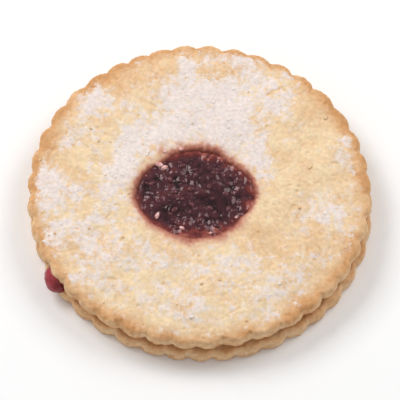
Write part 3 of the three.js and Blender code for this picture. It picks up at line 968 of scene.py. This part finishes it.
# The juice crept furthest at the front, where the jam was spooned in, and least to the right.
reach = 1.1 - 0.15 * np.cos(2 * angle) - 0.2 * np.sin(angle) - 0.15 * np.cos(angle)
crept = np.maximum(from_window + ragged.reshape(x.shape), 0) / (SOAK_REACH * reach)
soak = SOAK_AT_EDGE * np.exp(-(crept**SOAK_STEEPNESS))
*patch, missing = DRY_LIP
soak *= 1 - missing * soft_patch(x, y, *patch)
for *patch, amount in JUICE_SMEARS:
    soak = np.maximum(soak, amount * soft_patch(x, y, *patch))

browned = smoothstep(radius, *RIM_BAND)
browned += RIM_EDGE_BROWNING * smoothstep(radius, *RIM_EDGE_BAND)
browned += BROWNING_DRIFT * speckle(plan, BROWNING_SPACING, 65).reshape(x.shape)
for *patch, amount in BROWNED_PATCHES:
    browned += amount * soft_patch(x, y, *patch)
# A wall is palest half-way up, and brownest along its two edges.
up_wall = (height - SEAM_TOP) / (FACE_HEIGHT - SEAM_TOP)
edges = 0.45 + 0.55 * np.abs(2 * up_wall - 1)
upper_fields = {
    "bake": UPPER_BAKE + BROWNED_BAKE * browned * edges,
    "pit_shade": painted_pit_shade(relief),
    "sugar": sugar,
    "soak": soak,
}
upper_biscuit = skin("upper_biscuit_baked", upper_grid, True, upper_fields)
upper_biscuit.data.materials.append(baked_shortbread("shortbread_sugared", sugar_and_juice))
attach(upper_biscuit, "root")
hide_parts("top_biscuit")

# ---- Icing sugar ----
# Sugar ground to flour, sieved over the baked biscuit. Most is a film, which the biscuit's own skin
# carries. What clung together in the sieve lies on it in soft clumps.

CLUMP_TRIALS = 11000
CLUMP_SIZES = (0.18, 0.45)  # half-sizes in mm, from the most common to the rarest
CLUMP_RARITY = 2.5  # the higher, the fewer of them are large
CLUMP_STRETCH = (1.4, 1.0, 0.55)
CLUMP_COVER = (0.3, 3.4)  # a clump lands where the sugar is more than a draw between these
CLUMP_REACH = 36.6
CLUMP_BEDDING = 0.32  # share of a clump's half-size by which its middle lies below the film
CLEAR_OF_WINDOW = 2.3
CLUMP_GRAIN_WIDTH = 0.3  # coarser than the sugar's grain is, so that it shows


def sieved_sugar(name):
    """Icing sugar: a dry matt white powder, a little uneven in tone."""
    material, tree = empty_material(name)
    place = add(tree, "TexCoord", {}).outputs["Object"]
    grain = add(
        tree, "TexNoise", {"Vector": place, "Scale": 1 / (CLUMP_GRAIN_WIDTH * MM), "Detail": 2.0}
    )
    colour = add(tree, "ValToRGB", {"Fac": grain}, [(0.3, "#ebddd3"), (0.7, "#f4eae3")])
    shader = add(
        tree,
        "BsdfPrincipled",
        {"Base Color": colour, "Roughness": 0.85, "IOR": 1.5, "Specular IOR Level": 0.2},
    )
    add(tree, "OutputMaterial", {"Surface": shader})
    return material


random = np.random.default_rng(81)
reach = CLUMP_REACH * np.sqrt(random.uniform(0, 1, CLUMP_TRIALS))
around = random.uniform(0, math.tau, CLUMP_TRIALS)
x, y = reach * np.cos(around), reach * np.sin(around)
cover = sugar_cover(x, y, np.stack([x, y, np.zeros(CLUMP_TRIALS)], axis=1))
clear = (window_share(x, y) - 1) * WINDOW_RADIUS > CLEAR_OF_WINDOW
kept = clear & (random.uniform(*CLUMP_COVER, CLUMP_TRIALS) < cover)
x, y = x[kept] + SHIFT_X, y[kept] + SHIFT_Y
face_height_at = surface_below(upper_biscuit)
rarity = random.uniform(0, 1, len(x)) ** CLUMP_RARITY
half = CLUMP_SIZES[0] + (CLUMP_SIZES[1] - CLUMP_SIZES[0]) * rarity
# They are bedded in the film, so that only a low cap of each shows.
places = np.stack([x, y, face_height_at(x, y) - half * CLUMP_BEDDING], axis=1)
half_sizes = np.stack([half * stretch for stretch in CLUMP_STRETCH], axis=1)
turns = random.uniform(0, math.tau, len(x))
sugar_clumps = strewn("icing_sugar_clumps", places, half_sizes, turns, uneven=0.3, seed=82)
sugar_clumps.data.materials.append(sieved_sugar("icing_sugar"))
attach(sugar_clumps, "root")

# ---- Loose crumbs ----
# Grains of shortbread that broke from the biscuits' rims as they were packed and fell on the face,
# where they lie loose.

CRUMB_COUNT = 26
CRUMB_REACH = 36.5
CRUMB_FREE_SHARE = 0.16  # of the face, in its middle
CRUMB_SIZES = (0.14, 0.42)  # half-sizes in mm, from the most common to the rarest
CRUMB_STRETCH = (1.2, 0.9, 0.7)
CRUMB_LIFT = 0.3  # share of a crumb's half-size by which its middle lies above the face
CRUMB_BLOTCH_WIDTH = 0.9  # in mm, of the shades in its broken surface


def crumb(name, pale, dark):
    """A crumb's broken surface: matt and sandy, with its own shade of colour in each part."""
    material, tree = empty_material(name)
    place = add(tree, "TexCoord", {}).outputs["Object"]
    blotch = add(
        tree, "TexNoise", {"Vector": place, "Scale": 1 / (CRUMB_BLOTCH_WIDTH * MM), "Detail": 3.0}
    )
    colour = add(tree, "ValToRGB", {"Fac": blotch}, [(0.35, dark), (0.65, pale)])
    shader = add(tree, "BsdfPrincipled", {"Base Color": colour, "Roughness": 0.6, "IOR": 1.45})
    add(tree, "OutputMaterial", {"Surface": shader})
    return material


random = np.random.default_rng(91)
reach = CRUMB_REACH * np.sqrt(random.uniform(CRUMB_FREE_SHARE, 1, CRUMB_COUNT))
around = random.uniform(0, math.tau, CRUMB_COUNT)
x, y = reach * np.cos(around) + SHIFT_X, reach * np.sin(around) + SHIFT_Y
rarity = random.uniform(0, 1, CRUMB_COUNT) ** 2
half = CRUMB_SIZES[0] + (CRUMB_SIZES[1] - CRUMB_SIZES[0]) * rarity
places = np.stack([x, y, face_height_at(x, y) + half * CRUMB_LIFT], axis=1)
half_sizes = np.stack([half * stretch for stretch in CRUMB_STRETCH], axis=1)
turns = random.uniform(0, math.tau, CRUMB_COUNT)
loose_crumbs = strewn("loose_crumbs", places, half_sizes, turns, uneven=0.35, seed=92)
loose_crumbs.data.materials.append(crumb("broken_shortbread", "#f3d8b0", "#e2b682"))
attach(loose_crumbs, "root")

# ---- Soaked crumbs ----
# Crumbs of the window's edge that broke off as the upper biscuit was pressed on the jam. They stick
# to the lip and to the jam beside it, where they soaked up juice and turned pink.

# The crumbs: x, y, half-length, half-width in mm, turn in degrees
SOAKED_CRUMBS = [
    (-9.0, 6.9, 1.3, 0.62, -25),
    (-7.7, 6.0, 0.75, 0.5, 30),
    (-4.0, 10.5, 0.6, 0.42, 20),
    (-7.6, 9.8, 0.5, 0.4, 60),
    (-9.3, -6.0, 0.8, 0.42, 75),
    (-3.8, -9.0, 0.6, 0.36, -25),
    (2.5, -10.2, 0.4, 0.3, 10),
    (8.2, -6.3, 0.4, 0.3, 40),
]
SOAKED_LIFT = 0.35  # share of a crumb's half-width by which its middle lies above what it is on
SOAKED_FLATNESS = 0.8

x, y, long, wide, turn = np.array(SOAKED_CRUMBS).T
x, y = x + SHIFT_X, y + SHIFT_Y
height_at = surface_below(upper_biscuit, jam_filling)
places = np.stack([x, y, height_at(x, y) + wide * SOAKED_LIFT], axis=1)
half_sizes = np.stack([long, wide, wide * SOAKED_FLATNESS], axis=1)
turns = np.radians(turn)
soaked_crumbs = strewn(
    "soaked_crumbs", places, half_sizes, turns, uneven=0.22, seed=93, subdivisions=3
)
soaked_crumbs.data.materials.append(crumb("juice_soaked_shortbread", "#f6cec8", "#cf8a84"))
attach(soaked_crumbs, "root")

# ---- Floor, light and camera ----
# A white table top between two wide soft lights at the back, in a bright room. The table top is
# laminate, pressed smooth and even, with a dull sheen that mirrors nothing.

FLOOR_HALF = 3.0  # in metres
ROOM_LIGHT = 0.48

floor_mesh = bpy.data.meshes.new("floor")
floor_mesh.from_pydata(
    [(sx * FLOOR_HALF, sy * FLOOR_HALF, 0) for sx, sy in ((-1, -1), (1, -1), (1, 1), (-1, 1))],
    [],
    [(0, 1, 2, 3)],
)
floor = bpy.data.objects.new("floor", floor_mesh)
bpy.context.scene.collection.objects.link(floor)
laminate, tree = empty_material("white_table_top")
shader = add(tree, "BsdfPrincipled", {"Base Color": linear("#fcfcfc"), "Roughness": 0.6})
add(tree, "OutputMaterial", {"Surface": shader})
floor_mesh.materials.append(laminate)

world = bpy.data.worlds.new("bright_room")
bpy.context.scene.world = world
world.use_nodes = True
world.node_tree.nodes["Background"].inputs["Color"].default_value = linear("#ffffff")
world.node_tree.nodes["Background"].inputs["Strength"].default_value = ROOM_LIGHT


def soft_light(name, place, width, watts):
    """A square soft box that faces the cookie. Its place and width are in metres."""
    lamp = bpy.data.lights.new(name, "AREA")
    lamp.shape, lamp.size, lamp.energy = "SQUARE", width, watts
    light = bpy.data.objects.new(name, lamp)
    light.location = place
    light.rotation_euler = (-Vector(place)).to_track_quat("-Z", "Y").to_euler()
    bpy.context.scene.collection.objects.link(light)


soft_light("key", (-0.45, 0.35, 0.6), width=0.4, watts=3.4)
soft_light("fill", (0.45, 0.3, 0.6), width=0.4, watts=2.0)

FRAME_SHARE = 0.86  # of the frame's width, which the cookie fills
CAMERA_DISTANCE = 0.9
CAMERA_ELEVATION = math.radians(62)
camera_data = bpy.data.cameras.new("camera")
camera = bpy.data.objects.new("camera", camera_data)
bpy.context.scene.collection.objects.link(camera)
target = (cad_box[0] + cad_box[1]) / 2
back = Vector((0, -math.cos(CAMERA_ELEVATION), math.sin(CAMERA_ELEVATION)))
camera.location = target + back * CAMERA_DISTANCE
camera.rotation_euler = (-back).to_track_quat("-Z", "Y").to_euler()
cookie_width = cad_box[1].x - cad_box[0].x
camera_data.lens = camera_data.sensor_width * CAMERA_DISTANCE * FRAME_SHARE / cookie_width
bpy.context.scene.camera = camera
bpy.context.scene.view_settings.view_transform = "Standard"
